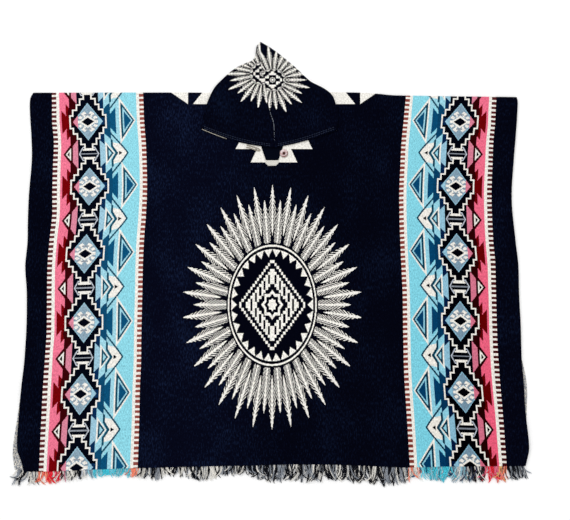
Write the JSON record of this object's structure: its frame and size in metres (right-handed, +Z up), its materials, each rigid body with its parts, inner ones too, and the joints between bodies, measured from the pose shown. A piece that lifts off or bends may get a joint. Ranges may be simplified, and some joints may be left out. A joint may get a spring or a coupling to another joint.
{
  "type": "hooded poncho",
  "caption": "Fringed blanket poncho with a hood, laid flat with its front up, with patterned side bands and a buttoned neck slit.",
  "frame": {"origin": "on the surface that the poncho lies on, under the middle of its overall width and length", "axes": "+X across the garment, towards the button side of the slit; +Y from the hem towards the point of the hood; +Z up from the surface"},
  "size_m": [1.2116, 1.0826, 0.01],
  "materials": {
    "blanket_cloth": "matt woven blanket cloth with coloured bands",
    "warp_yarn": "matt twisted yarn, coloured in stripes",
    "cream_trim": "matt cotton cord and stitching",
    "button_shell": "polished pinkish resin"
  },
  "bodies": {
    "root": {"back_panel": "blanket_cloth", "front_panel": "blanket_cloth", "hood_left": "blanket_cloth", "hood_right": "blanket_cloth", "back_fringe": "warp_yarn", "front_fringe": "warp_yarn", "button": "button_shell", "button_loop": "cream_trim", "slit_tab": "cream_trim"}
  },
  "joints": []
}
